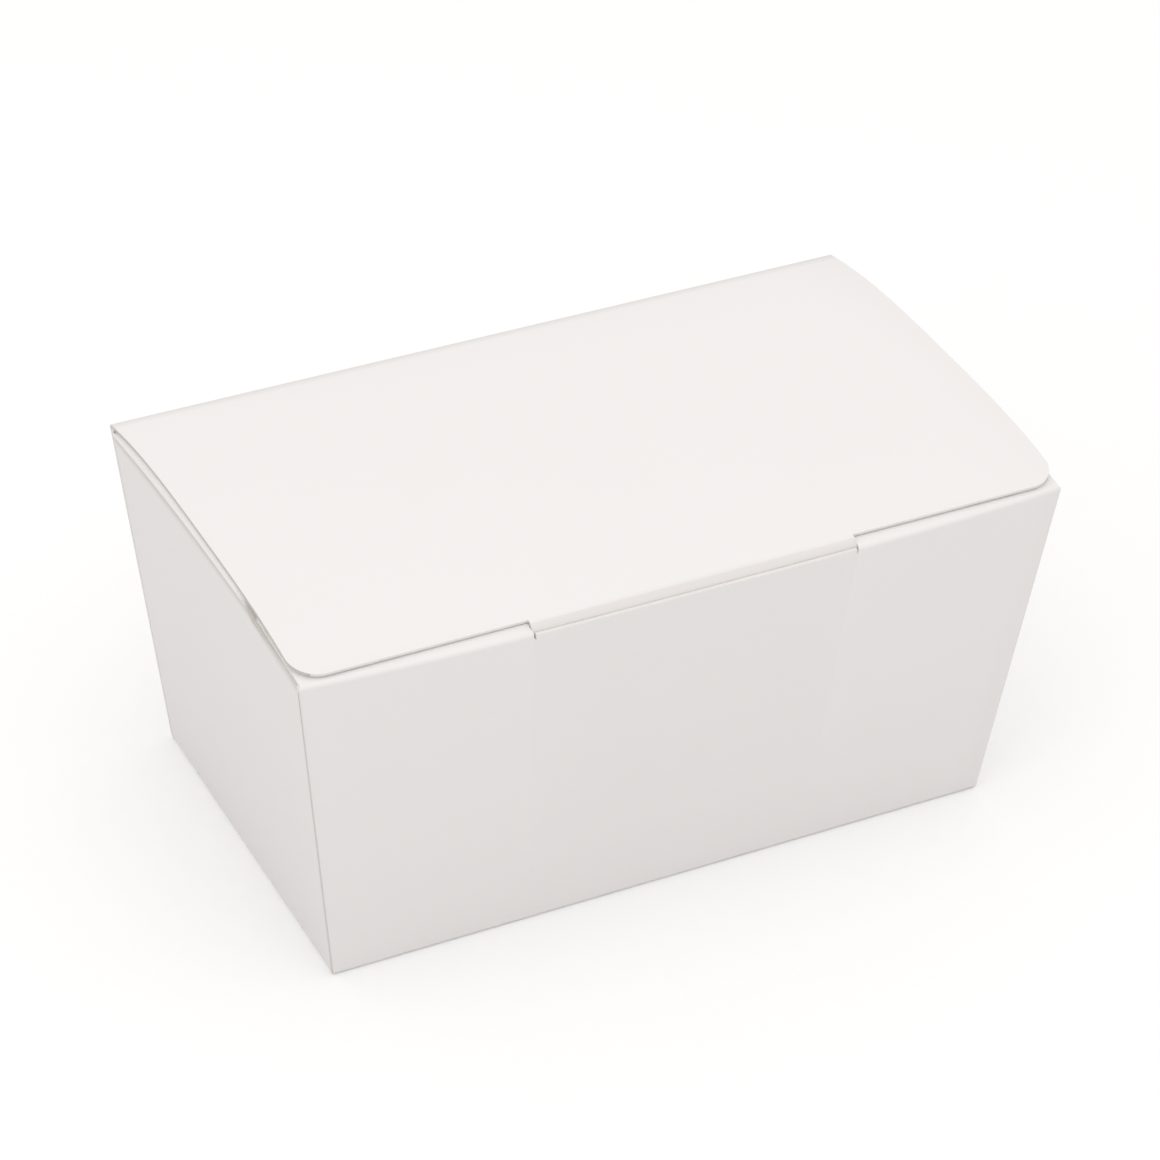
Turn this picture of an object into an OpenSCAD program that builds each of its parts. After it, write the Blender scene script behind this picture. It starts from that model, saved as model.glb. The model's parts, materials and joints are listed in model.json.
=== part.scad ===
// Folding candy box of creased board: a flared tray with top flaps, and a hinged lid that locks with a tongue.
// Origin at the middle of the base, +Z up, +X along the long side, the front of the box faces -Y. Millimetres.

/* [Box] */
// Length across the top, from end fold to end fold
top_length = 124; // [100:1:180]
// Width across the top, from front fold to lid crease
top_width = 71.5; // [55:0.5:110]
// Length of the flat base
base_length = 110; // [90:1:170]
// Width of the flat base
base_width = 63.5; // [50:0.5:100]
// Height of the front fold above the table
box_height = 58; // [45:1:90]
// Thickness of the board
board = 0.5; // [0.4:0.05:0.6]
// Outside radius of a fold
fold_radius = 0.8; // [0.7:0.05:1.2]

/* [Shape when closed] */
// How far the front fold bows out at its middle
front_bow = 1.75; // [1.5:0.05:2.5]
// Height of the curved end creases above the front fold, where they are highest
end_rise = 1.5; // [1:0.05:1.8]
// Height of the lid's crown above the front fold
lid_crown = 3.4; // [3:0.1:5]
// Height of the lid's upper face at its crease, above the front fold
crease_lift = 0.7; // [0.7:0.05:1]

/* [Lid] */
// Distance from the straight front fold line back to the lid's free front edge
lid_setback = 0.55; // [0.4:0.05:1.5]
// Radius of the lid's front corners
lid_corner = 4.5; // [2:0.5:10]
// Width of the tongue at its fold
tongue_width = 52.8; // [30:0.2:70]
// Length of the tongue below its fold
tongue_length = 10; // [6:0.5:10]
// Outside radius of the tongue's soft fold
tongue_radius = 1.2; // [0.9:0.1:1.4]

/* [Flaps and tabs] */
// Depth of the front flap
front_flap = 22; // [15:1:26]
// Length of each end flap
end_flap = 27; // [15:1:32]
// Width of each glue tab
glue_tab = 11; // [7:1:14]
// Depth of the lock slit behind the front wall's cut edge
slit_depth = 1.8; // [1.6:0.1:2.2]

/* [Hidden] */

board_white = [0.95, 0.94, 0.92];
lid_white = [0.97, 0.96, 0.95];

arc_steps = 4;
arch_steps = 32;
corner_steps = 10;
tongue_steps = 6;
edge_steps = 8;

// Flat length that a fold takes up, how far glued panels sink into each other, and the lid's play over the flaps
fold_room = 2 * fold_radius;
glue_depth = 0.05;
play = 0.2;

// Hinge line in the lid's crease, and the top edge of the back wall just below it
hinge_y = top_width / 2 - board / 2;
hinge_z = box_height + crease_lift - board / 2;
crease_gap = 0.36;
back_top_z = hinge_z - crease_gap;

// The lid's arch and tongue
lid_front_y = lid_setback - top_width / 2;
tongue_start_y = -top_width / 2;
tongue_fold_lift = 0.95;
tongue_start_z = box_height + tongue_fold_lift;
tongue_lean = 5.5;
crown_y = -1;
crown_z = box_height + lid_crown;

// Front flap: its slope, how far its ends stand back, the slant of their rear part, and the slit's play at the tongue
flap_rise = 0.08;
flap_end_gap = 0.65;
flap_straight = 0.7;
flap_slant = 7;
slit_play = 0.6;
slit_half = tongue_width / 2 + slit_play;

// End creases: where they are highest and how they fall away, as shares of the half width
end_peak = -0.3;
end_fall = 1.35;

// End flaps: rounded shoulder, length over which it springs up behind the front flap, fall to the free edge,
// slant of the sides, and gap to each corner
shoulder_depth = 0.5;
shoulder_height = 0.3;
spring_run = 8;
end_flap_fall = 1.6;
end_flap_slant = 9;
corner_gap = 1.4;

function mix(a, b, share) = a + (b - a) * share;
function unit(v) = v / norm(v);
function turn_left(v) = [-v[1], v[0]];

// Outer half length and half width of the flared walls at a height
function half_length(z) = mix(base_length, top_length, z / box_height) / 2;
function half_width(z) = mix(base_width, top_width, z / box_height) / 2;

// Bow of the front fold at a share of the half length, and rise of the end crease at a share of the half width
function bow(share) = front_bow * (1 - pow(abs(share), 3));
function rise(share) = end_rise - end_fall * pow(share - end_peak, 2);

// Height of the arched lid's upper face at a depth from the front
function lid_z(y) =
    let (
        rear = y > crown_y,
        reach = rear ? (y - crown_y) / (hinge_y - crown_y) : (crown_y - y) / (crown_y - tongue_start_y),
        foot_z = rear ? hinge_z + board / 2 : tongue_start_z
    )
    mix(crown_z, foot_z, pow(reach, 3));

// Height of the end flaps' shoulder at a depth: under the front flap's ends in front, under the lid behind them
function shoulder_z(y) =
    let (
        flap_end = flap_straight * front_flap - top_width / 2,
        share = min(1, max(0, (y - flap_end) / spring_run + 0.25)),
        under_flap = box_height + flap_rise * (y + top_width / 2) - board,
        under_lid = lid_z(y) - board - play
    )
    min(under_lid, mix(under_flap, under_lid, share * share * (3 - 2 * share)));

// Arc points from one tangent point to the other, where the path p, q, r is bent to a radius at q
function bend(p, q, r, radius, steps = arc_steps) =
    let (
        a = unit(p - q),
        b = unit(r - q),
        half_angle = acos(a * b) / 2,
        centre = q + unit(a + b) * radius / sin(half_angle),
        start = q + a * radius / tan(half_angle) - centre,
        sweep = 180 - 2 * half_angle
    )
    [for (i = [0:steps])
        let (angle = sweep * i / steps)
        centre + [
            start[0] * cos(angle) - start[1] * sin(angle),
            start[0] * sin(angle) + start[1] * cos(angle)
        ]
    ];

// Inner face of a strip of board whose outer face follows the path, with the board on the path's left
function inner_face(path) =
    let (last = len(path) - 1)
    [for (i = [0:last])
        path[i] + board * turn_left(unit(path[min(i + 1, last)] - path[max(i - 1, 0)]))
    ];

// Outer and inner face of a section that is made of one or more strips end to end
function section(strips) = [[for (path = strips) each path], [for (path = strips) each inner_face(path)]];

// Solid sheet of board between the outer and inner points of its sections, without the cells that are cut away
module sheet(sections, cut = function (column, row) false) {
    columns = len(sections);
    rows = len(sections[0][0]);
    points = [for (face = [0, 1], s = sections) each s[face]];
    function outer(column, row) = column * rows + row;
    function present(column, row) =
        column >= 0 && column < columns - 1 && row >= 0 && row < rows - 1 && !cut(column, row);
    // Each face is two triangles, and each edge that has no neighbour is closed by two more
    inner = columns * rows;
    faces = [for (i = [0:columns - 2], j = [0:rows - 2])
        if (present(i, j))
            let (
                a = outer(i, j),
                b = outer(i + 1, j),
                c = outer(i + 1, j + 1),
                d = outer(i, j + 1),
                open_edges = concat(
                    present(i, j - 1) ? [] : [[a, b]],
                    present(i + 1, j) ? [] : [[b, c]],
                    present(i, j + 1) ? [] : [[c, d]],
                    present(i - 1, j) ? [] : [[d, a]]
                )
            )
            each concat(
                [[c, b, a], [d, c, a], [a, b, c] + [1, 1, 1] * inner, [a, c, d] + [1, 1, 1] * inner],
                [for (edge = open_edges) each [
                    [edge[0], edge[1], edge[0] + inner],
                    [edge[1], edge[1] + inner, edge[0] + inner]
                ]]
            )
    ];
    polyhedron(points, faces, convexity = 6);
}

// Flat base between the folds
module base_panel() {
    lap = fold_radius / 2;
    shrink = 2 * (fold_room - lap);
    size = [base_length - shrink, base_width - shrink, board];
    translate([-size[0] / 2, -size[1] / 2, 0]) cube(size);
}

// Section of the front panel at a share of the half length, as [outward, up]: base edge, wall, then fold and flap,
// or the wall's cut edge, lowered by a drop, and the flap's cut edge where the lock slit parts them
function front_section(share, slit, drop) =
    let (
        inside = [base_width / 2 - fold_room, 0],
        low = [base_width / 2, 0],
        high = [top_width / 2 + bow(share), box_height],
        along = unit([-1, flap_rise]),
        straight = high + flap_straight * front_flap * along,
        edge = high + front_flap * along,
        foot = concat([inside], bend(inside, low, high, fold_radius)),
        down = unit(low - high),
        cut_edge = high + drop * down,
        fold = bend(low, high, edge, fold_radius)
    )
    slit
        ? section([
            concat(foot, [for (reach = [fold_radius, fold_radius / 2, 0]) cut_edge + reach * down]),
            [high + slit_depth * along, high + (slit_depth + fold_radius) * along, straight, edge]
        ])
        : section([concat(foot, fold, [straight, edge])]);

// Front wall with its bowed fold, the flap above it with slanted ends, and the lock slit along the fold.
// Each end of the slit turns down into the wall in a short nick.
module front_panel() {
    steps = 5;
    nick_depth = 1.1;
    nick_width = 0.35;
    half = top_length / 2;
    slit_start = slit_half / half;
    nick_share = (slit_half - nick_width) / half;
    slit_share = (slit_half - 2 * nick_width) / half;
    left = [for (i = [0:steps]) mix(-1, -slit_start, i / steps)];
    cut_edge = [for (i = [0:steps + 1]) mix(-slit_share, slit_share, i / (steps + 1))];
    slit = concat([-nick_share], cut_edge, [nick_share]);
    right = [for (i = [0:steps]) mix(slit_start, 1, i / steps)];
    shares = concat(left, slit, right);
    first_slit = len(left) - 1;
    last_slit = first_slit + len(slit);
    fold_middle = arc_steps + 2 + arc_steps / 2;
    flap_edge = 2 * arc_steps + 4;
    sheet(
        [for (share = shares)
            [for (face = front_section(share, abs(share) <= nick_share, abs(share) > slit_share ? nick_depth : 0))
                [for (j = [0:flap_edge])
                    let (
                        p = face[j],
                        shorter = j <= fold_middle ? 0 : j < flap_edge ? flap_end_gap : flap_end_gap + flap_slant
                    )
                    [share * (half_length(p[1]) - shorter * pow(share, 4)), -p[0], p[1]]
                ]
            ]
        ],
        function (column, row) row == fold_middle && column >= first_slit && column < last_slit
    );
}

// Back wall, whose top edge carries the lid's crease
module back_panel() {
    inside = [base_width / 2 - fold_room, 0];
    low = [base_width / 2, 0];
    high = [half_width(back_top_z), back_top_z];
    profile = section([concat([inside], bend(inside, low, high, fold_radius), [high])]);
    sheet([for (share = [1, -1])
        [for (face = profile) [for (p = face) [share * half_length(p[1]), p[0], p[1]]]]
    ]);
}

// Section of an end panel at a share of the half width: base edge, wall, curved crease, the flap's shoulder under
// the lid or the front flap, and its free edge. A corner's wall is unfolded and ends below what lies on it.
function end_section(share, inset, corner) =
    let (
        y = share * (top_width / 2 - board),
        shoulder_top = shoulder_z(y),
        crease_z = corner ? shoulder_top : min(box_height + rise(share), shoulder_top - shoulder_height),
        inside = [base_length / 2 - fold_room - inset, 0],
        low = [base_length / 2 - inset, 0],
        crease = [half_length(min(crease_z, box_height)) - inset, crease_z],
        shoulder = [crease[0] - shoulder_depth, shoulder_top + (corner ? shoulder_height : 0)],
        edge = [top_length / 2 - end_flap, shoulder_top - end_flap_fall]
    )
    section([concat([inside], bend(inside, low, crease, fold_radius), [crease],
        bend(crease, shoulder, edge, fold_radius), [edge])]);

// End wall between the front and back walls, with rounded upright folds, a corner gap at the base and the end flap
module end_panel() {
    // How far the wall stands inwards at each distance from its edge, round the upright fold
    upright_fold = [for (angle = [0:30:90]) fold_radius * [1 - cos(angle), 1 - sin(angle)]];
    steps = 9;
    inner_half = top_width / 2 - board + glue_depth;
    start = 1 - corner_gap / inner_half;
    left = [for (f = upright_fold) [-1 + f[0] / inner_half, f[1], true]];
    middle = [for (i = [0:steps]) [mix(-start, start, i / steps), 0, false]];
    right = [for (i = [len(left) - 1:-1:0]) [-left[i][0], left[i][1], true]];
    stations = concat(left, middle, right);
    foot_end = arc_steps + 1;
    crease_row = foot_end + 1;
    sheet(
        [for (s = stations)
            [for (face = end_section(s[0], s[1], s[2])) [for (p = face)
                let (
                    on_flap = p[1] > box_height / 2 ? max(0, top_length / 2 - fold_room - p[0]) : 0,
                    half = half_width(p[1]) - board + glue_depth - end_flap_slant * on_flap / end_flap
                )
                [p[0], s[0] * half, p[1]]
            ]]
        ],
        function (column, row)
            (stations[column][2] || stations[column + 1][2]) && (row < foot_end || row >= crease_row)
    );
}

// Tab folded from the end wall and glued behind the front wall, or behind the straight back wall after mirroring
module tab(bowed) {
    steps = 3;
    slant = 5;
    foot_gap = 2.5;
    top_gap = 3;
    near = 1 - 2 * board / base_length;
    sheet([for (i = [0:steps])
        let (
            share = near - (1 - i / steps) * 2 * glue_tab / top_length,
            taper = slant * (1 - i / steps),
            heights = [foot_gap + taper, box_height - top_gap - taper]
        )
        [for (depth = [0, board]) [for (z = heights)
            let (out = half_width(z) + (bowed ? bow(share) * z / box_height : 0) - board + glue_depth - depth)
            [share * half_length(z), -out, z]
        ]]
    ]);
}

// Folded tray: base, walls, tabs and the flaps that close its top
module body() {
    color(board_white) union() {
        base_panel();
        front_panel();
        back_panel();
        for (end = [0, 1]) mirror([end, 0, 0]) {
            end_panel();
            tab(true);
            mirror([0, 1, 0]) tab(false);
        }
    }
}

// Upper face of the lid and outer face of its tongue, from the crease to the tongue's tip, as [y, z]
function lid_path() =
    let (
        arch = [for (i = [0:arch_steps]) let (y = mix(hinge_y, tongue_start_y, i / arch_steps)) [y, lid_z(y)]],
        slope = unit(arch[arch_steps] - arch[arch_steps - 1]),
        corner = arch[arch_steps] + slope * tongue_radius * tan((90 + tongue_lean + atan(slope[1])) / 2),
        tip = corner + (tongue_length + tongue_radius) * [sin(tongue_lean), -cos(tongue_lean)]
    )
    concat(
        [for (i = [0:arch_steps - 1]) arch[i]],
        bend(arch[arch_steps - 1], corner, tip, tongue_radius, tongue_steps),
        [tip]
    );

// Lid and tongue as one bent strip, before its outline is cut
module lid_strip() {
    path = lid_path();
    rounded_crease = [for (i = [1:edge_steps - 1])
        let (angle = 180 * i / edge_steps)
        [hinge_y, hinge_z] + board / 2 * [sin(angle), -cos(angle)]
    ];
    inner = inner_face(path);
    rotate([90, 0, 90])
        linear_extrude(top_length, center = true)
            polygon(concat(path, [for (i = [len(path) - 1:-1:0]) inner[i]], rounded_crease));
}

// Lid's outline seen from above: straight sides, round front corners and the root of the tongue
module lid_outline() {
    half = top_length / 2;
    root = tongue_width / 2;
    rear_y = hinge_y + board;
    rear_left = [-half, rear_y];
    rear_right = [half, rear_y];
    front_left = [-half, lid_front_y];
    front_right = [half, lid_front_y];
    polygon(concat(
        [rear_right, rear_left],
        bend(rear_left, front_left, front_right, lid_corner, corner_steps),
        [[-root, lid_front_y], [-root, -top_width], [root, -top_width], [root, lid_front_y]],
        bend(front_left, front_right, rear_right, lid_corner, corner_steps)
    ));
}

// Outline seen from the front: room for the whole lid above, and below it a tongue that draws in to round corners
module tongue_outline() {
    draw_in = 1.5;
    tip_corner = 4;
    low_z = tongue_start_z - tongue_length - 2 * tongue_radius;
    root_z = box_height - 1;
    top_z = box_height + 2 * lid_crown;
    root_left = [-tongue_width / 2, root_z];
    root_right = [tongue_width / 2, root_z];
    tip_left = [draw_in - tongue_width / 2, low_z];
    tip_right = [tongue_width / 2 - draw_in, low_z];
    polygon(concat(
        [[top_length, top_z], [-top_length, top_z], [-top_length, root_z], root_left],
        bend(root_left, tip_left, tip_right, tip_corner, corner_steps),
        bend(tip_left, tip_right, root_right, tip_corner, corner_steps),
        [root_right, [top_length, root_z]]
    ));
}

// Hinged lid panel with its locking tongue
module lid() {
    color(lid_white) intersection() {
        lid_strip();
        linear_extrude(2 * box_height) lid_outline();
        rotate([90, 0, 0]) linear_extrude(2 * top_width, center = true) tongue_outline();
    }
}

body();
lid();
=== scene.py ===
import json
import math
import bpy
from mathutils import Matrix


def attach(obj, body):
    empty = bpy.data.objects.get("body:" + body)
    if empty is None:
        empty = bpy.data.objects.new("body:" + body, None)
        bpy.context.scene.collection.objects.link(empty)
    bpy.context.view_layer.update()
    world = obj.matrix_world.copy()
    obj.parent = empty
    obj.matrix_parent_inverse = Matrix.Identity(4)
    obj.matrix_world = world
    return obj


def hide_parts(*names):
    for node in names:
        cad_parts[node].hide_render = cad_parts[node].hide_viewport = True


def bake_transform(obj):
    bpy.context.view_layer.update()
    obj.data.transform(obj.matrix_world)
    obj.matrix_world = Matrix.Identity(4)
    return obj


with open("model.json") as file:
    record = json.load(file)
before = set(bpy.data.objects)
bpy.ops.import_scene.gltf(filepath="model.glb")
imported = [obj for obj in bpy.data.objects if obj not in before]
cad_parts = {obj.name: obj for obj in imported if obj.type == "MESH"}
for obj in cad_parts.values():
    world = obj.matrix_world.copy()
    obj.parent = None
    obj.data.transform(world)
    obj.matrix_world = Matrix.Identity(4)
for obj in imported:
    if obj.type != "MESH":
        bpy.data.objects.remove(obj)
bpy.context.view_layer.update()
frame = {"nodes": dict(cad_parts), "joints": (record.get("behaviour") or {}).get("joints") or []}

from types import SimpleNamespace

import bmesh
import bpy
from mathutils import Matrix, Vector

mm = 0.001
tiny = 1e-5
tinier = 1e-6
loose = 10 * tiny


def inMetres(millimetres):
    return SimpleNamespace(**{name: value * mm for name, value in millimetres.items()})


def mix(low, high, share):
    return low + (high - low) * share


# Selecting and shaping, as by hand

def onlyThis(piece):
    bpy.ops.object.select_all(action="DESELECT")
    piece.select_set(True)
    bpy.context.view_layer.objects.active = piece


def startPlane(name, centre, width, depth):
    bpy.ops.object.select_all(action="DESELECT")
    bpy.ops.mesh.primitive_plane_add(size=1, location=centre)
    piece = bpy.context.object
    piece.name = piece.data.name = name
    piece.scale = (width, depth, 1)
    bpy.ops.object.transform_apply(location=True, rotation=True, scale=True)
    bpy.ops.object.mode_set(mode="EDIT")
    bpy.ops.mesh.select_mode(type="VERT")
    return piece


def pickPoints(piece, test):
    bpy.ops.mesh.select_all(action="DESELECT")
    sheet = bmesh.from_edit_mesh(piece.data)
    for point in sheet.verts:
        if test(point.co):
            point.select_set(True)
    sheet.select_flush(True)
    bmesh.update_edit_mesh(piece.data)


def deleteFaces(piece, test):
    bpy.ops.mesh.select_all(action="DESELECT")
    bpy.ops.mesh.select_mode(type="FACE")
    sheet = bmesh.from_edit_mesh(piece.data)
    for face in sheet.faces:
        if test(face.calc_center_median()):
            face.select_set(True)
    bmesh.update_edit_mesh(piece.data)
    bpy.ops.mesh.delete(type="FACE")
    bpy.ops.mesh.select_mode(type="VERT")


def move(offset):
    bpy.ops.transform.translate(value=offset)


def stretch(factors):
    bpy.ops.transform.resize(value=factors, center_override=(0, 0, 0))


def extrude(offset):
    bpy.ops.mesh.extrude_region_move(TRANSFORM_OT_translate={"value": offset})


def cutAcross(place, direction):
    bpy.ops.mesh.select_all(action="SELECT")
    bpy.ops.mesh.bisect(plane_co=place, plane_no=direction)


def leaveEditing(piece):
    bpy.ops.mesh.select_all(action="SELECT")
    bpy.ops.mesh.remove_doubles(threshold=tinier)
    bpy.ops.mesh.normals_make_consistent(inside=False)
    bpy.ops.object.mode_set(mode="OBJECT")
    onlyThis(piece)


# Points of a round bend from p to r, with its corner at q
def bendPoints(p, q, r, radius, steps):
    p, q, r = Vector(p), Vector(q), Vector(r)
    a, b = (p - q).normalized(), (r - q).normalized()
    halfAngle = a.angle(b) / 2
    centre = q + (a + b).normalized() * radius / math.sin(halfAngle)
    start = q + a * radius / math.tan(halfAngle) - centre
    sweep = math.pi - 2 * halfAngle
    if start.x * b.y - start.y * b.x < 0:
        sweep = -sweep
    return [centre + Matrix.Rotation(sweep * i / steps, 2) @ start for i in range(steps + 1)]


edgeAngle = math.radians(60)
smoothAngle = math.radians(35)


# Gives the sheet its thickness on the inner side, and takes the sharpness off its cut edges
def thicken(piece, thickness, edgeSoftness):
    shell = piece.modifiers.new("boardThickness", "SOLIDIFY")
    shell.thickness = thickness
    shell.offset = -1
    shell.use_even_offset = True
    shell.material_offset_rim = 1
    shell.material_offset = 2
    soft = piece.modifiers.new("cutEdges", "BEVEL")
    soft.width = edgeSoftness
    soft.segments = 2
    soft.limit_method = "ANGLE"
    soft.angle_limit = edgeAngle
    bpy.ops.object.modifier_apply(modifier="boardThickness")
    bpy.ops.object.modifier_apply(modifier="cutEdges")
    bpy.ops.object.shade_smooth_by_angle(angle=smoothAngle)


# The box's own measures, in millimetres

boxSize = inMetres({
    "topLength": 124, "topWidth": 71.5, "baseLength": 110, "baseWidth": 63.5, "height": 58,
    "board": 0.5, "edgeSoftness": 0.05, "fold": 0.8, "frontBow": 1.75,
})
hinge = Vector(frame["joints"][0]["pos_m"])
flatHalfLength = boxSize.baseLength / 2 - 2 * boxSize.fold
flatHalfWidth = boxSize.baseWidth / 2 - 2 * boxSize.fold


def halfLength(height):
    return mix(boxSize.baseLength, boxSize.topLength, height / boxSize.height) / 2


def halfWidth(height):
    return mix(boxSize.baseWidth, boxSize.topWidth, height / boxSize.height) / 2


def bowAt(share):
    return boxSize.frontBow * (1 - abs(share) ** 3)


def smooth(value, low, high):
    share = min(1, max(0, (value - low) / (high - low)))
    return share * share * (3 - 2 * share)


# Materials

class Wire:
    # An output of a material's node, so that shader maths reads as Python
    def __init__(self, finish, socket):
        self.finish = finish
        self.socket = socket

    def __add__(self, other):
        return self.finish.node("ShaderNodeMath", {"operation": "ADD"}, {0: self, 1: other})

    def __sub__(self, other):
        return self.finish.node("ShaderNodeMath", {"operation": "SUBTRACT"}, {0: self, 1: other})

    def __mul__(self, other):
        return self.finish.node("ShaderNodeMath", {"operation": "MULTIPLY"}, {0: self, 1: other})


class Finish:
    # A material that is built node by node round one Principled shader
    def __init__(self, name):
        self.material = bpy.data.materials.new(name)
        self.material.use_nodes = True
        self.tree = self.material.node_tree
        self.shader = self.tree.nodes["Principled BSDF"]

    def node(self, kind, settings=None, sockets=None, output=0):
        made = self.tree.nodes.new(kind)
        for name, value in (settings or {}).items():
            setattr(made, name, value)
        self.connect(made, sockets or {})
        return Wire(self, made.outputs[output])

    def connect(self, made, sockets):
        for name, value in sockets.items():
            if isinstance(value, Wire):
                self.tree.links.new(value.socket, made.inputs[name])
            else:
                made.inputs[name].default_value = value

    def noise(self, where, perMetre, detail=3, roughness=0.5):
        return self.node("ShaderNodeTexNoise", {}, {
            "Vector": where, "Scale": perMetre, "Detail": detail, "Roughness": roughness,
        })

    # A Mix node takes its colours in sockets 6 and 7, and gives the mixed one at output 2
    def mixColours(self, share, first, second):
        return self.node("ShaderNodeMix", {"data_type": "RGBA"}, {0: share, 6: first, 7: second}, output=2)


cloudShare = 0.6

def boardFinish(name, look):
    finish = Finish(name)
    place = finish.node("ShaderNodeTexCoord", output="Object")
    cloud = finish.noise(place, look["cloudPerMetre"])
    fibre = finish.noise(place, look["fibrePerMetre"], detail=4, roughness=0.65)
    wave = finish.noise(place, look["wavePerMetre"], detail=1)
    tone = cloud * cloudShare + fibre * (1 - cloudShare)
    colour = finish.mixColours(tone, (*look["shade"], 1), (*look["colour"], 1))
    # Painted shade: the mesh's shade attribute darkens the board's colour towards its grey at folds, seams
    # and edges
    paintedShade = finish.node("ShaderNodeAttribute", {"attribute_name": "paintedShadeMask"}, output="Fac")
    colour = finish.mixColours(paintedShade, colour, (*look["paintedShade"], 1))
    relief = finish.node("ShaderNodeBump", {}, {
        "Strength": 1.0, "Distance": look["relief"], "Height": fibre,
    })
    relief = finish.node("ShaderNodeBump", {}, {
        "Strength": 1.0, "Distance": look["waviness"], "Height": wave, "Normal": relief,
    })
    finish.connect(finish.shader, {
        "Base Color": colour,
        "Roughness": (fibre - 0.5) * look["roughnessSpread"] + look["roughness"],
        "Normal": relief,
        "Specular IOR Level": look["gloss"],
    })
    return finish.material


# Each look's last colour is the grey of the painted shade at folds, seams and edges
boardLooks = {
    "coatedBoard": {
        "colour": (0.893, 0.863, 0.853), "shade": (0.875, 0.847, 0.837), "paintedShade": (0.55, 0.51, 0.46),
        "gloss": 0.35, "roughness": 0.52, "roughnessSpread": 0.16, "cloudPerMetre": 45, "fibrePerMetre": 2600,
        "wavePerMetre": 28, "relief": 0.004 * mm, "waviness": 0.06 * mm,
    },
    "cutBoardEdge": {
        "colour": (0.89, 0.868, 0.842), "shade": (0.76, 0.735, 0.7), "paintedShade": (0.46, 0.42, 0.37),
        "gloss": 0.15, "roughness": 0.85, "roughnessSpread": 0.2, "cloudPerMetre": 300, "fibrePerMetre": 6000,
        "wavePerMetre": 900, "relief": 0.03 * mm, "waviness": 0.02 * mm,
    },
    "boardInside": {
        "colour": (0.875, 0.862, 0.848), "shade": (0.84, 0.828, 0.812), "paintedShade": (0.6, 0.57, 0.53),
        "gloss": 0.2, "roughness": 0.7, "roughnessSpread": 0.2, "cloudPerMetre": 60, "fibrePerMetre": 2200,
        "wavePerMetre": 28, "relief": 0.008 * mm, "waviness": 0.06 * mm,
    },
}
boardMaterials = [boardFinish(name, look) for name, look in boardLooks.items()]
print("materials made:", [material.name for material in boardMaterials])


def dress(piece):
    piece.data.materials.clear()
    for material in boardMaterials:
        piece.data.materials.append(material)


# Says how much painted shade each face's corners get near folds, seams and cut edges, which darkens the
# board's colour there
def paintShadeOnFolds(piece, shadeAt):
    shadeMask = piece.data.attributes.new("paintedShadeMask", "FLOAT", "CORNER")
    for face in piece.data.polygons:
        for corner in face.loop_indices:
            point = piece.data.vertices[piece.data.loops[corner].vertex_index]
            shadeMask.data[corner].value = shadeAt(point.co, face)


# The lid's arch, which the flaps below it follow

lidSize = inMetres({
    "length": 124, "front": -35.2, "crownY": -1, "crownZ": 61.4, "frontZ": 58.8, "archEnd": -35.75,
    "corner": 4.5, "tongueWidth": 52.8, "tongueLength": 10, "foldStart": -35.8, "softFold": 0.45,
    "tongueY": -36.83, "tongueZ": 57.9, "slitFold": 1, "drawIn": 1.5, "tipCorner": 4,
})
lidCells = {"rows": 34, "columns": 10, "cornerSteps": 9, "foldSteps": 8}
tongueLean = math.radians(5.5)
lidRearZ = hinge.z + boxSize.board / 2


def lidZ(y):
    if y > lidSize.crownY:
        reach = (y - lidSize.crownY) / (hinge.y - lidSize.crownY)
        return mix(lidSize.crownZ, lidRearZ, reach ** 3)
    reach = (lidSize.crownY - y) / (lidSize.crownY - lidSize.archEnd)
    return mix(lidSize.crownZ, lidSize.frontZ, reach ** 3)


# The folded tray: base, four walls, glue tabs and the flaps that close its top

traySize = inMetres({
    "frontFlap": 22, "flapRise": 2.5, "flapStraight": 15.4, "flapGap": 0.3, "flapSlant": 7, "slitBehind": 1.8,
    "slitHalf": 26.46, "nickWidth": 0.35, "nickDrop": 0.5, "cornerGap": 0.6, "cornerFold": 0.42,
    "earLean": 0.12, "glueTab": 11, "tabSlant": 5, "tabPlay": 0.02, "creaseGap": 0.36, "slitDrop": 0.3,
})
endSize = inMetres({
    "rise": 1.7, "fall": 1.35, "shoulderIn": 0.95, "shoulderUp": 0.1, "springStart": 0.8, "springRun": 7,
    "lidPlay": 0.22, "earPlay": 0.05, "swell": 2.2, "leanOut": 0.05, "leanIn": 0.35, "groove": 0.15,
    "bulge": 0.3, "flap": 27, "flapFall": 1.6, "flapSlant": 9,
})
trayCells = {"columns": 12, "endStations": 16, "foldSteps": 6, "topFoldSteps": 8, "uprightSteps": 5}

# As shares of the half length or width: the least room beside another cut, and how near is the same place
shareRoom = {"column": 0.03, "station": 0.02}
shareReach = {"column": 0.002, "station": 0.001}

# From this share of the half length on, a point counts as on the end of the front flap
flapEndShare = 0.99

# The strip that the slit takes away has moved forward by more than this part of the front bow
slitBowPart = 0.8

# As shares of the half width: where an end crease peaks, and from where to where it is pressed in, in front
endPeak = -0.3
pressedFrom = 0.55
pressedTo = 0.95

# The wall's last points as (drop below the crease, share of its lean), and the points of the roll above it
swellSteps = ((1, 0), (0.66, 0.15), (0.38, 0.4), (0.18, 0.75), (0.05, 1))
rollSteps = (0.1, 0.25, 0.42, 0.58, 0.72, 0.85, 0.94, 1)
rollStart = 0.1
creasePoint = len(swellSteps)


# Even shares between -1 and 1, without these two
def evenShares(steps):
    return [i / steps for i in range(1 - steps, steps)]


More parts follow.
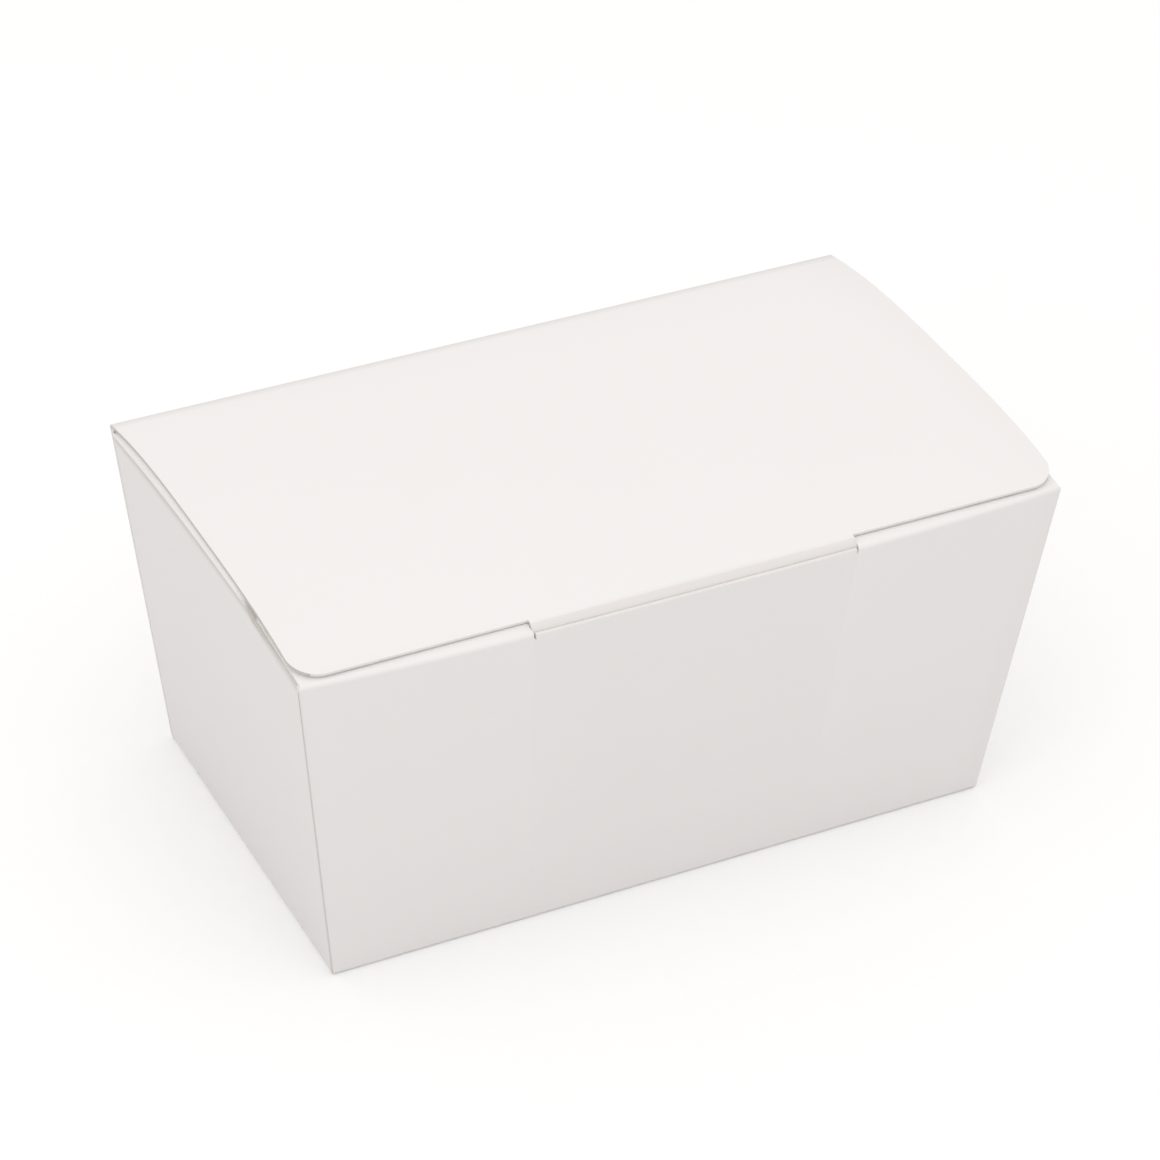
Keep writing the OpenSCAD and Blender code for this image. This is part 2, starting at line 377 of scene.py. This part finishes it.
# Extrudes the picked edge along a profile, and widens or narrows each new row to its own half size
def extrudeAlong(profile, outward, widen, halfSize):
    for before, after in zip(profile, profile[1:]):
        step = (after[0] - before[0]) * outward
        extrude((step.x, step.y, after[1] - before[1]))
        factor = halfSize(after) / halfSize(before)
        stretch((factor, 1, 1) if widen == "x" else (1, factor, 1))


# Extrudes a row of points by one step, and then moves each new point to its own place
def extrudeRow(piece, before, after):
    pickPoints(piece, lambda p: any((p - point).length < tiny for point in before))
    step = after[0] - before[0]
    extrude(step)
    for old, new in zip(before, after):
        if (new - old - step).length > tiny:
            pickPoints(piece, lambda p: (p - old - step).length < tiny)
            move(new - old - step)


# Height of the end flap's shoulder at a depth: below the front flap in front, and below the lid behind it
def shoulderZ(y):
    behindFold = y + boxSize.topWidth / 2
    underFlap = boxSize.height + traySize.flapRise * behindFold / traySize.frontFlap - boxSize.board
    underLid = lidZ(y) - boxSize.board - endSize.lidPlay
    start = traySize.flapStraight - boxSize.topWidth / 2 + endSize.springStart
    return min(underLid, mix(underFlap, underLid, smooth(y, start, start + endSize.springRun)))


# Height of an end wall's crease at a share of the half width
def creaseZ(share):
    free = boxSize.height + endSize.rise - endSize.fall * (share - endPeak) ** 2
    return min(free, shoulderZ(share * (boxSize.topWidth / 2 - boxSize.board)) - endSize.shoulderUp)


# Section of an end panel above its straight wall, at a share of the half width, as [outward, up] points.
# The wall swells to the crease, and the flap rolls over from there to its shoulder and falls to its edge.
def endProfile(share, corner):
    size = endSize
    top = shoulderZ(share * (boxSize.topWidth / 2 - boxSize.board))
    crease = creaseZ(share)
    pressed = smooth(-share, pressedFrom, pressedTo)
    lean = mix(size.leanOut, -size.leanIn, pressed)
    if corner:
        top += size.lidPlay - size.earPlay
        crease = top
        lean = 0
    points = []
    for drop, part in swellSteps:
        z = crease - drop * size.swell
        points.append(Vector((halfLength(min(z, boxSize.height)) + lean * part, z)))
    wall = halfLength(min(crease, boxSize.height))
    points.append(Vector((wall + lean - size.groove * (1 - pressed) * (not corner), crease)))
    bulge = wall + lean + size.bulge * (1 - pressed)
    shoulder = wall - size.shoulderIn
    for part in rollSteps:
        across = mix(part ** 1.5, 1 - math.sqrt(1 - part ** 2), 0.5)
        points.append(Vector((mix(bulge, shoulder, across), mix(crease, top, mix(rollStart, 1, part)))))
    for reach in (0.5, 1):
        outward = mix(shoulder, boxSize.topLength / 2 - size.flap, reach)
        points.append(Vector((outward, top - size.flapFall * reach)))
    return points


def buildTray():
    size = traySize
    tray = startPlane("boxTray", (0, 0, 0), 2 * flatHalfLength, 2 * flatHalfWidth)
    nickEdge = size.slitHalf - size.nickWidth
    slitEnds = (size.slitHalf, nickEdge)
    slitColumns = [side * edge / (boxSize.topLength / 2) for side in (-1, 1) for edge in slitEnds]
    columns = evenShares(trayCells["columns"])
    for cut in slitColumns:
        columns = [share for share in columns if abs(share - cut) > shareRoom["column"]]
    columns += slitColumns
    gapShare = 1 - size.cornerGap / (boxSize.topWidth / 2)
    earShare = gapShare + size.earLean / (boxSize.topWidth / 2)
    stations = evenShares(trayCells["endStations"])
    stations = [share for share in stations if abs(share) < gapShare - shareRoom["station"]]
    stations += [-gapShare, gapShare, earShare]
    for share in columns:
        cutAcross((share * flatHalfLength, 0, 0), (1, 0, 0))
    for share in stations:
        cutAcross((0, share * flatHalfWidth, 0), (0, 1, 0))
    stations = [-1] + sorted(stations) + [1]
    columns = [-1] + sorted(columns) + [1]

    # Front and back walls
    low = Vector((boxSize.baseWidth / 2, 0))
    high = Vector((boxSize.topWidth / 2, boxSize.height))
    along = Vector((-size.frontFlap, size.flapRise)).normalized()
    foot = bendPoints((flatHalfWidth, 0), low, high, boxSize.fold, trayCells["foldSteps"])
    fold = bendPoints(low, high, high + along, boxSize.fold, trayCells["topFoldSteps"])
    flap = [high + along * reach for reach in (size.slitBehind, size.flapStraight, size.frontFlap)]
    frontProfile = [Vector((flatHalfWidth, 0))] + foot + fold + flap
    wallTop = fold[0]

    def wallHalf(row):
        return halfLength(row[1]) if row[0] > flatHalfWidth + tiny or row[1] > tiny else flatHalfLength

    pickPoints(tray, lambda p: p.y < tiny - flatHalfWidth)
    extrudeAlong(frontProfile, Vector((0, -1)), "x", wallHalf)
    backTop = hinge.z - size.creaseGap
    pickPoints(tray, lambda p: p.y > flatHalfWidth - tiny)
    backProfile = [Vector((flatHalfWidth, 0))] + foot + [Vector((halfWidth(backTop), backTop))]
    extrudeAlong(backProfile, Vector((0, 1)), "x", wallHalf)

    # The front fold bows out
    def inColumn(p, share):
        return abs(p.x / halfLength(p.z) - share) < shareReach["column"]

    for share in columns:
        pickPoints(tray, lambda p: p.y < 0 and p.z > wallTop[1] - tiny and inColumn(p, share))
        move((0, -bowAt(share), 0))

    # Ends of the front flap: a step in at the fold, straight sides, then a slant
    stepIn = fold[len(fold) // 2][1] + tiny
    for side in (-1, 1):
        pickPoints(tray, lambda p: p.y < 0 and p.z > stepIn and p.x * side > flapEndShare * halfLength(p.z))
        move((-side * size.flapGap, 0, 0))
    pickPoints(tray, lambda p: p.z > flap[2][1] - tiny)
    narrowed = 1 - (size.flapGap + size.flapSlant) / (boxSize.topLength / 2)
    stretch((narrowed, 1, 1))

    # The lock slit: the fold and a strip behind it go, and the wall runs straight up to its cut edge
    slitBack = -flap[0][0] - slitBowPart * boxSize.frontBow - tiny

    def onWallTop(p):
        return p.y < 0 and abs(p.z - wallTop[1]) < tiny

    deleteFaces(tray, lambda c: c.z > wallTop[1] and abs(c.x) < size.slitHalf and c.y < slitBack)
    pickPoints(tray, lambda p: onWallTop(p) and abs(p.x) < size.slitHalf + loose)
    rest = high - wallTop
    extrude((0, -rest[0], rest[1] - size.slitDrop))

    # A short nick turns down into the wall at each end of the slit
    deleteFaces(tray, lambda c: c.z > wallTop[1] and nickEdge < abs(c.x) < size.slitHalf and c.y < slitBack)
    pickPoints(tray, lambda p: onWallTop(p) and abs(abs(p.x) - nickEdge) < loose)
    move((0, 0, -size.nickDrop))

    # End walls with their curved creases and the flaps inside
    endLow = Vector((boxSize.baseLength / 2, 0))
    endHigh = Vector((boxSize.topLength / 2, boxSize.height))
    endFoot = bendPoints((flatHalfLength, 0), endLow, endHigh, boxSize.fold, trayCells["foldSteps"])
    lastFlapShare = gapShare + shareReach["station"]
    profiles = [endProfile(share, abs(share) > lastFlapShare) for share in stations]
    wallStations = list(range(len(stations)))
    flapStations = [k for k in wallStations if abs(stations[k]) < lastFlapShare]

    def endHalf(row):
        if row[1] < tiny and row[0] < flatHalfLength + tiny:
            return flatHalfWidth
        half = halfWidth(min(row[1], boxSize.height)) - boxSize.board - size.cornerFold
        onFlap = boxSize.topLength / 2 - endSize.shoulderIn - row[0] if row[1] > boxSize.height / 2 else 0
        return half - endSize.flapSlant * max(0, onFlap) / endSize.flap

    def endPoint(side, share, row):
        return Vector((side * row[0], share * endHalf(row), row[1]))

    def onBaseEnd(p, side):
        return p.x * side > flatHalfLength - tiny and abs(p.y) < flatHalfWidth + tiny and p.z < tiny

    for side in (-1, 1):
        pickPoints(tray, lambda p: onBaseEnd(p, side))
        extrudeAlong([Vector((flatHalfLength, 0))] + endFoot, Vector((side, 0)), "y", endHalf)
        before = [endPoint(side, share, endFoot[-1]) for share in stations]
        for i in range(len(profiles[0])):
            kept = wallStations if i <= creasePoint else flapStations
            after = [endPoint(side, stations[k], profiles[k][i]) for k in kept]
            extrudeRow(tray, [before[k] for k in kept], after)
            for k, point in zip(kept, after):
                before[k] = point

    # Upright folds round the corners, and the tabs that are glued behind the front and back walls
    def tabY(x, z, face):
        bow = bowAt(x / halfLength(z)) * z / boxSize.height if face < 0 else 0
        return face * (halfWidth(z) + bow - boxSize.board - size.tabPlay)

    for side in (-1, 1):
        for face in (-1, 1):
            rows = [endFoot[-1]] + profiles[0 if face < 0 else -1][:creasePoint + 1]
            corners = [endPoint(side, face, row) for row in rows]
            for i in range(trayCells["uprightSteps"]):
                angle = math.pi / 2 * (i + 1) / trayCells["uprightSteps"]
                last = math.pi / 2 * i / trayCells["uprightSteps"]
                step = size.cornerFold * Vector((side * (math.cos(angle) - math.cos(last)),
                                                 face * (math.sin(angle) - math.sin(last)), 0))
                turned = [point + step for point in corners]
                extrudeRow(tray, corners, turned)
                corners = turned
            tabEnd = []
            for point in corners:
                slant = mix(size.tabSlant, -size.tabSlant, point.z / boxSize.height)
                x = abs(point.x) - size.glueTab
                tabEnd.append(Vector((side * x, tabY(x, point.z + slant, face), point.z + slant)))
            extrudeRow(tray, corners, tabEnd)
    leaveEditing(tray)
    return tray


# Where painted shade darkens the board: round the end creases, at the tongue's fold, before the hinge, on the
# seams and on the lid's side edges
paintedShadeSize = inMetres({
    "below": 1.9, "above": 0.35, "reachIn": 0.6, "tongueStart": 0.2, "tongueRun": 0.5, "hingeRun": 1.2,
})
paintedShadeShare = {
    "endCrease": 0.65, "seamLow": 0.45, "seamHigh": 0.9, "tongue": 0.28, "hinge": 0.25, "sideEdge": 0.55,
}
paintedShadeFacing = {"seam": 0.3, "frontOrBack": 0.9, "lidSide": 0.5}
seamPart = 0.9


# Painted shade on the tray: along the end creases, and a painted shadow line down the upright seams at the
# two front corners
def trayPaintedShade(p, face):
    outward = abs(p.x) - halfLength(min(p.z, boxSize.height))
    behindFront = p.y + halfWidth(p.z)
    if outward < -paintedShadeSize.reachIn or p.z > boxSize.height + 2 * endSize.rise:
        return 0
    # A painted shadow line down the upright seams at the front corners, darker towards the top
    if behindFront < boxSize.board + seamPart * traySize.cornerFold:
        onSeam = abs(face.normal.x) > paintedShadeFacing["seam"] and p.z < boxSize.height - 2 * boxSize.fold
        return onSeam * mix(paintedShadeShare["seamLow"], paintedShadeShare["seamHigh"], (p.z / boxSize.height) ** 4)
    share = p.y / (halfWidth(min(p.z, boxSize.height)) - boxSize.board - traySize.cornerFold)
    if abs(share) > 1 or abs(face.normal.y) > paintedShadeFacing["frontOrBack"]:
        return 0
    # Painted shade below and above each end crease, where the groove's shadow falls
    crease = creaseZ(share)
    if p.z > crease:
        return paintedShadeShare["endCrease"] * (1 - smooth(p.z - crease, 0, paintedShadeSize.above))
    return paintedShadeShare["endCrease"] * (1 - smooth(crease - p.z, 0, paintedShadeSize.below))


tray = buildTray()
dress(tray)
thicken(tray, boxSize.board, boxSize.edgeSoftness)
paintShadeOnFolds(tray, trayPaintedShade)
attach(tray, "body")
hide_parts("body")
print("tray:", len(tray.data.polygons), "faces")


# The lid: an arched panel with round front corners, and the tongue that goes down into the slit

def buildLid():
    size = lidSize
    middle = (size.front + hinge.y) / 2
    lid = startPlane("boxLid", (0, middle, 0), size.length, hinge.y - size.front)
    pickPoints(lid, lambda p: p.y < middle)
    bpy.ops.mesh.bevel(offset=size.corner, segments=lidCells["cornerSteps"], affect="VERTICES")
    for i in range(1, lidCells["rows"]):
        cutAcross((0, mix(size.front, hinge.y, i / lidCells["rows"]), 0), (0, 1, 0))
    for i in range(1, lidCells["columns"]):
        cutAcross((mix(-size.length, size.length, i / lidCells["columns"]) / 2, 0, 0), (1, 0, 0))
    for side in (-1, 1):
        cutAcross((side * size.tongueWidth / 2, 0, 0), (1, 0, 0))

    # Each row is lifted to the arch
    rows = sorted({round(point.co.y, 7) for point in bmesh.from_edit_mesh(lid.data).verts})
    for row in rows:
        pickPoints(lid, lambda p: abs(p.y - row) < tinier)
        move((0, 0, lidZ(row)))

    # The tongue, from the end of the arch round its soft fold to its tip
    edge = Vector((size.front, lidZ(size.front)))
    brow = Vector((size.foldStart, lidZ(size.foldStart)))
    slit = Vector((size.tongueY, size.tongueZ))
    tip = slit + size.tongueLength * Vector((math.sin(tongueLean), -math.cos(tongueLean)))
    profile = [edge] + bendPoints(edge, brow, slit, size.softFold, lidCells["foldSteps"])
    profile += bendPoints(brow, slit, tip, size.slitFold, lidCells["foldSteps"]) + [tip]
    pickPoints(lid, lambda p: p.y < size.front + tiny and abs(p.x) < size.tongueWidth / 2 + tiny)
    for before, after in zip(profile, profile[1:]):
        extrude((0, after.x - before.x, after.y - before.y))
    sheet = bmesh.from_edit_mesh(lid.data)
    tongueColumns = sorted({round(point.co.x, 6) for point in sheet.verts if point.co.z < tip.y + tiny})
    for column in tongueColumns:
        pickPoints(lid, lambda p: p.y < size.front - tiny and abs(p.x - column) < tiny)
        move((0, bowAt(size.tongueWidth / size.length) - bowAt(2 * column / size.length), 0))
    pickPoints(lid, lambda p: abs(p.z - tip.y) < tiny)
    stretch((1 - 2 * size.drawIn / size.tongueWidth, 1, 1))
    tipHalf = size.tongueWidth / 2 - size.drawIn
    pickPoints(lid, lambda p: abs(p.z - tip.y) < tiny and abs(p.x) > tipHalf - tiny)
    bpy.ops.mesh.bevel(offset=size.tipCorner, segments=lidCells["cornerSteps"], affect="VERTICES")
    leaveEditing(lid)
    return lid


# Painted shade on the lid: over the tongue's fold, the last stretch before the hinge crease, and the side
# edges
def lidPaintedShade(p, face):
    # Painted shade over the tongue's fold, where it turns down away from the light
    tongueFold = smooth(lidSize.foldStart + paintedShadeSize.tongueStart - p.y, 0, paintedShadeSize.tongueRun)
    # Painted shade over the last stretch before the hinge crease
    rearFold = smooth(p.y, hinge.y - paintedShadeSize.hingeRun, hinge.y)
    # Painted shade on the lid's side cut edges, standing for the shadow in the gap under them
    sideEdge = abs(face.normal.x) > paintedShadeFacing["lidSide"] and p.z > lidSize.frontZ - boxSize.board
    return max(
        paintedShadeShare["tongue"] * tongueFold, paintedShadeShare["hinge"] * rearFold, paintedShadeShare["sideEdge"] * sideEdge,
    )


lid = buildLid()
dress(lid)
thicken(lid, boxSize.board, boxSize.edgeSoftness)
paintShadeOnFolds(lid, lidPaintedShade)
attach(lid, "lid")
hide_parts("lid")
print("lid:", len(lid.data.polygons), "faces")


# The crease between the back wall and the lid, a narrow strip of pressed board

creaseSize = inMetres({
    "radius": 0.36, "board": 0.3, "overlap": 0.25, "edgeSoftness": 0.02, "lidStep": 0.5, "halfStrip": 0.05,
})
creaseSteps = 10


def buildCrease():
    wallTop = hinge.z - traySize.creaseGap
    wallY = halfWidth(wallTop)
    flare = (halfWidth(boxSize.height) - halfWidth(0)) / boxSize.height
    lidSlope = (lidZ(hinge.y - creaseSize.lidStep) - lidRearZ) / creaseSize.lidStep
    cornerZ = (lidRearZ + lidSlope * (hinge.y - wallY + flare * wallTop)) / (1 + lidSlope * flare)
    corner = Vector((wallY + flare * (cornerZ - wallTop), cornerZ))
    start = Vector((wallY - flare * creaseSize.overlap, wallTop - creaseSize.overlap))
    end = Vector((hinge.y - creaseSize.overlap, lidZ(hinge.y - creaseSize.overlap)))
    profile = [start] + bendPoints(start, corner, end, creaseSize.radius, creaseSteps) + [end]
    strip = creaseSize.halfStrip
    crease = startPlane("lidCrease", (0, start.x, start.y - strip), 2 * halfLength(wallTop), 2 * strip)
    pickPoints(crease, lambda p: p.y > start.x)
    bpy.ops.mesh.delete(type="VERT")
    pickPoints(crease, lambda p: True)
    move((0, strip, strip))
    for before, after in zip(profile, profile[1:]):
        extrude((0, after.x - before.x, after.y - before.y))
    leaveEditing(crease)
    return crease, start, end


crease, creaseStart, creaseEnd = buildCrease()
dress(crease)
thicken(crease, creaseSize.board, creaseSize.edgeSoftness)
# The crease strip gets the same painted shade all over as the lid beside the hinge
paintShadeOnFolds(crease, lambda p, face: paintedShadeShare["hinge"])
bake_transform(crease)
print("crease:", len(crease.data.polygons), "faces")

# The CAD nodes get the coated board too
for node in ("body", "lid"):
    cadNode = frame["nodes"][node]
    cadNode.data.materials.clear()
    cadNode.data.materials.append(boardMaterials[0])


# Camera, at the photograph's angle

view = {
    "azimuth": -27.668, "elevation": 35.455, "roll": 2.2646, "distance": 693.48, "right": 1.228, "up": 28.748,
    "focalPixels": 4396.9, "picturePixels": 1160, "sensor": 36, "clipStart": 0.01, "clipEnd": 20,
}


def placeCamera():
    azimuth, elevation, roll = (math.radians(view[name]) for name in ("azimuth", "elevation", "roll"))
    back = Vector((
        math.sin(azimuth) * math.cos(elevation),
        -math.cos(azimuth) * math.cos(elevation),
        math.sin(elevation),
    ))
    level = (-back).cross(Vector((0, 0, 1))).normalized()
    upright = level.cross(-back)
    right = math.cos(roll) * level + math.sin(roll) * upright
    up = -math.sin(roll) * level + math.cos(roll) * upright
    bpy.ops.object.camera_add()
    camera = bpy.context.object
    camera.name = "camera"
    camera.location = (right * view["right"] + up * view["up"] + back * view["distance"]) * mm
    camera.rotation_mode = "QUATERNION"
    camera.rotation_quaternion = Matrix((right, up, back)).transposed().to_quaternion()
    camera.data.sensor_width = view["sensor"]
    camera.data.lens = view["focalPixels"] / view["picturePixels"] * view["sensor"]
    camera.data.clip_start = view["clipStart"]
    camera.data.clip_end = view["clipEnd"]
    bpy.context.scene.camera = camera


placeCamera()


# Floor, lamps and surroundings

room = {
    "floorColour": (0.93, 0.93, 0.93), "floorBounce": (0.76, 0.76, 0.76), "floorLift": 0.085, "floorSize": 8,
    "floorRoughness": 0.9,
    "fadeStart": 0.22, "fadeEnd": 0.6, "worldColour": (1, 0.99, 0.985), "worldStrength": 0.9,
}
lamps = {
    "topLamp": {"place": (-0.1, -0.25, 0.9), "size": 0.9, "power": 1.25},
    "leftLamp": {"place": (-0.9, -0.35, 0.5), "size": 0.7, "power": 0.46},
}


# A pale floor that the camera sees fade to white away from the box
def makeFloor():
    floor = startPlane("floor", (0, 0, 0), room["floorSize"], room["floorSize"])
    bpy.ops.object.mode_set(mode="OBJECT")
    finish = Finish("paleFloor")
    seen = finish.node("ShaderNodeLightPath", output="Is Camera Ray")
    place = finish.node("ShaderNodeTexCoord", output="Object")
    reach = finish.node("ShaderNodeVectorMath", {"operation": "LENGTH"}, {0: place}, output=1)
    fade = finish.node("ShaderNodeMapRange", {"interpolation_type": "SMOOTHSTEP"}, {
        "Value": reach, "From Min": room["fadeStart"], "From Max": room["fadeEnd"],
    })
    near = finish.mixColours(seen, (*room["floorBounce"], 1), (*room["floorColour"], 1))
    glow = seen * (fade * (1 - room["floorLift"]) + room["floorLift"])
    finish.connect(finish.shader, {
        "Base Color": finish.mixColours(fade * seen, near, (0, 0, 0, 1)),
        "Emission Color": finish.node("ShaderNodeCombineColor", {}, {0: glow, 1: glow, 2: glow}),
        "Emission Strength": 1.0,
        "Roughness": room["floorRoughness"],
        "Specular IOR Level": 0.0,
    })
    floor.data.materials.append(finish.material)


# The camera sees the pale surroundings at full strength, and the box gets a little less light from them
def makeWorld():
    world = bpy.data.worlds.new("paleSurroundings")
    bpy.context.scene.world = world
    world.use_nodes = True
    tree = world.node_tree
    background = tree.nodes["Background"]
    background.inputs["Color"].default_value = (*room["worldColour"], 1)
    rays = tree.nodes.new("ShaderNodeLightPath")
    strength = tree.nodes.new("ShaderNodeMix")
    strength.inputs[2].default_value = room["worldStrength"]
    strength.inputs[3].default_value = 1
    tree.links.new(rays.outputs["Is Camera Ray"], strength.inputs[0])
    tree.links.new(strength.outputs[0], background.inputs["Strength"])


def makeLamp(name, setting):
    bpy.ops.object.light_add(type="AREA", location=setting["place"])
    lamp = bpy.context.object
    lamp.name = name
    lamp.data.size = setting["size"]
    lamp.data.energy = setting["power"]
    aim = Vector((0, 0, boxSize.height / 2)) - lamp.location
    lamp.rotation_mode = "QUATERNION"
    lamp.rotation_quaternion = aim.to_track_quat("-Z", "Y")


makeFloor()
makeWorld()
for name, setting in lamps.items():
    makeLamp(name, setting)
bpy.context.scene.view_settings.view_transform = "Standard"
print("stage and lamps ready")
